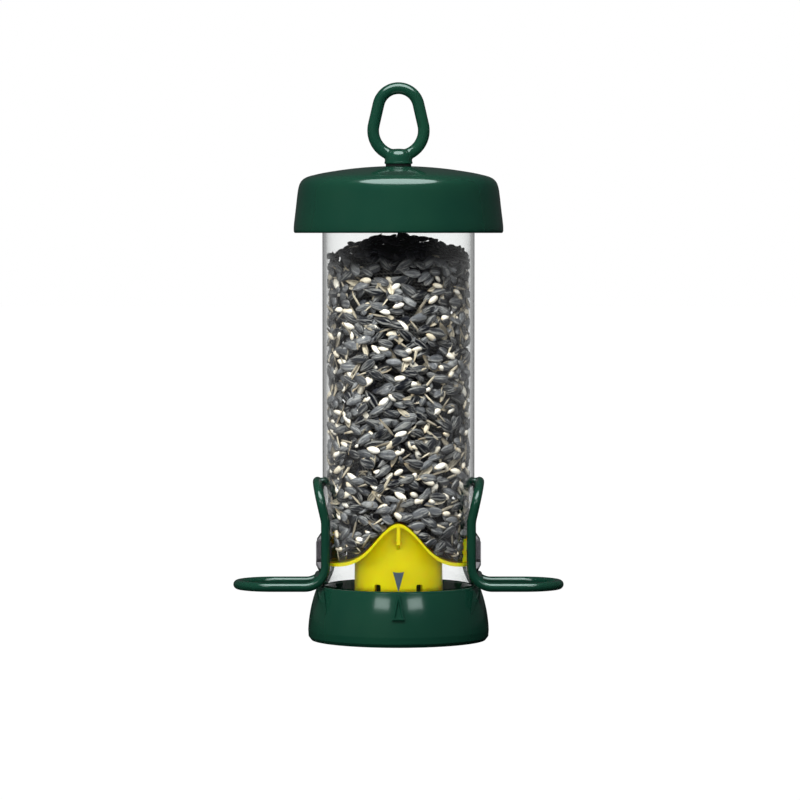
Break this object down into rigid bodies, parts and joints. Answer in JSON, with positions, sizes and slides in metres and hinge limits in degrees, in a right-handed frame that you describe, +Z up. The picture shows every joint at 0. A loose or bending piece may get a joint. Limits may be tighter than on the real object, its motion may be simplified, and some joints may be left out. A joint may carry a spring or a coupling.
{
  "type": "hanging tube bird feeder",
  "caption": "Clear hanging tube that holds seed over a ridged baffle and lets small birds feed at side ports with looped perches, under a domed roof with a hanging eye.",
  "frame": {"origin": "centre of the base's underside, on the tube's axis, at the plane the feeder stands on", "axes": "+Z up along the tube to the hanging eye, +X to the viewer's right through one perch, -Y towards the front with the pointer marks"},
  "size_m": [0.1656, 0.105, 0.2785],
  "materials": {
    "green_plastic": "gloss moulded",
    "yellow_plastic": "gloss moulded",
    "clear_plastic": "clear polished",
    "smoked_plastic": "clear polished, smoke grey",
    "printed_mark": "printed ink",
    "seed": "loose dry seed",
    "seal": "matt",
    "steel": "satin"
  },
  "bodies": {
    "base": {"base_dish": "green_plastic", "baffle": "yellow_plastic", "base_screw": "steel"},
    "tube": {"tube": "clear_plastic", "port_hood_right": "smoked_plastic", "port_hood_left": "smoked_plastic", "perch_right": "green_plastic", "perch_left": "green_plastic", "perch_nut_right": "steel", "perch_nut_left": "steel", "align_mark": "printed_mark", "top_ring": "green_plastic", "ring_rivets": "steel", "seed_fill": "seed"},
    "lid": {"lid": "green_plastic", "lid_carrier": "green_plastic", "seal_washer": "seal"},
    "hanger": {"hanger": "green_plastic", "retaining_clip": "steel", "lock_pin": "steel"}
  },
  "joints": [
    {"name": "tube_lift", "type": "slide", "parent": "base", "child": "tube", "axis": [0, 0, 1], "range_m": [0, 0.06]},
    {"name": "lid_lift", "type": "slide", "parent": "tube", "child": "lid", "axis": [0, 0, 1], "range_m": [0, 0.04]},
    {"name": "hanger_turn", "type": "hinge", "parent": "lid", "child": "hanger", "pos_m": [0, 0, 0.2371], "axis": [0, 0, 1], "range_deg": [0, 90]}
  ]
}
